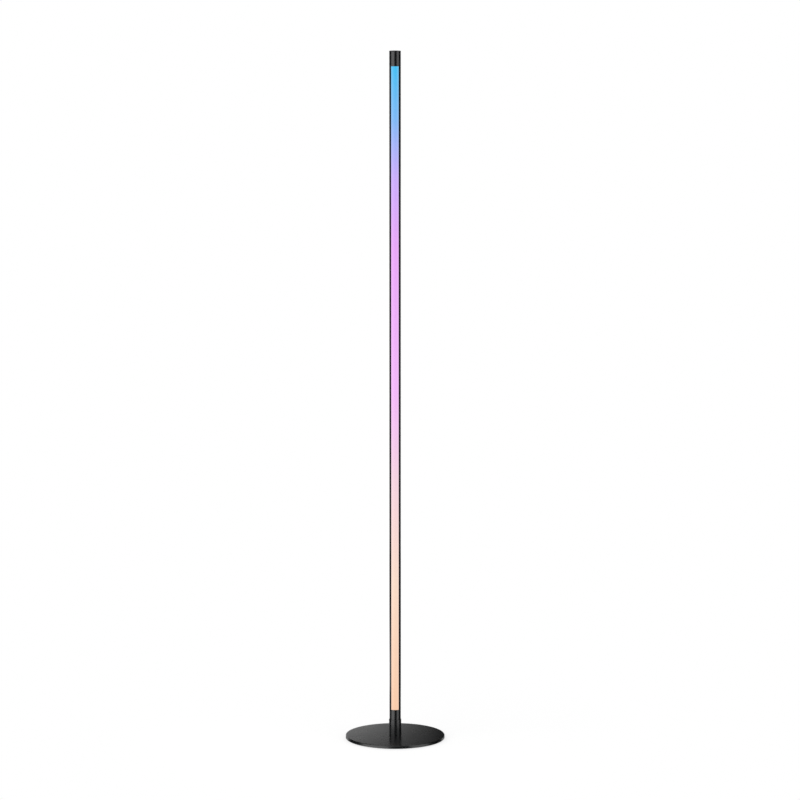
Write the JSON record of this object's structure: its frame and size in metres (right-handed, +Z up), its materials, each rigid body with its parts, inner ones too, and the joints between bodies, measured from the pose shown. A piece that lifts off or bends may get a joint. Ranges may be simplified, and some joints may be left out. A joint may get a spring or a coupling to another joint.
{
  "type": "corner floor lamp",
  "caption": "Slim black corner floor lamp: a round pole on a flat disc base, with a milky strip let into its front that glows in a colour gradient.",
  "frame": {"origin": "centre of the foot pad's underside, on the floor, under the pole's axis", "axes": "+Z up along the pole; the light faces -Y; the power inlet and the button are at the back, +Y"},
  "size_m": [0.2, 0.2, 1.3882],
  "materials": {
    "powder_coat": "black powder coat, semi-gloss",
    "anodised_black": "black anodised extrusion, satin",
    "moulded_black": "black moulded plastic, satin",
    "button_plastic": "dark grey moulded plastic, satin",
    "opal_diffuser": "milky silicone, lit from behind",
    "foam_pad": "black closed-cell foam, matt",
    "zinc_steel": "bright zinc-plated steel",
    "blackened_screw": "black oxide steel",
    "plain_aluminium": "plain machined aluminium",
    "strip_white": "white solder mask on flexible circuit",
    "led_phosphor": "clear resin over light-emitting chips",
    "board_green": "green solder mask",
    "chip_black": "black moulding compound, matt",
    "tinned_metal": "tinned and nickel-plated sheet",
    "contact_brass": "gold-flashed brass pins",
    "capacitor_can": "drawn aluminium can",
    "plunger_white": "white moulded plastic"
  },
  "bodies": {
    "lamp": {"base_plate": "powder_coat", "pole_collar": "powder_coat", "profile_lower": "anodised_black", "profile_middle": "anodised_black", "profile_upper": "anodised_black", "top_cap": "moulded_black", "lower_blank": "moulded_black", "inlet_bezel": "moulded_black", "diffuser": "opal_diffuser", "foot_pad": "foam_pad", "base_bolt": "zinc_steel", "locating_pin": "zinc_steel", "foot_plug_screws": "blackened_screw", "joint_screws_lower": "blackened_screw", "joint_screws_middle": "blackened_screw", "top_cap_screw": "blackened_screw", "foot_plug": "plain_aluminium", "joint_spigot_lower": "plain_aluminium", "joint_spigot_middle": "plain_aluminium", "led_strip": "strip_white", "led_chips": "led_phosphor", "control_board": "board_green", "radio_module": "board_green", "strip_driver_chips": "chip_black", "driver_chips": "chip_black", "power_inductor": "chip_black", "strip_header": "chip_black", "jack_body": "chip_black", "switch_body": "chip_black", "radio_shield": "tinned_metal", "switch_frame": "tinned_metal", "jack_side_contact": "tinned_metal", "jack_centre_pin": "tinned_metal", "strip_header_pins": "contact_brass", "storage_capacitor": "capacitor_can"},
    "button": {"power_button": "button_plastic", "switch_plunger": "plunger_white"}
  },
  "joints": [
    {"name": "power_button_press", "type": "slide", "parent": "lamp", "child": "button", "axis": [0, -1, 0], "range_m": [0, 0.0005], "stiffness_N_per_m": 1500, "springref_m": -0.0003}
  ]
}
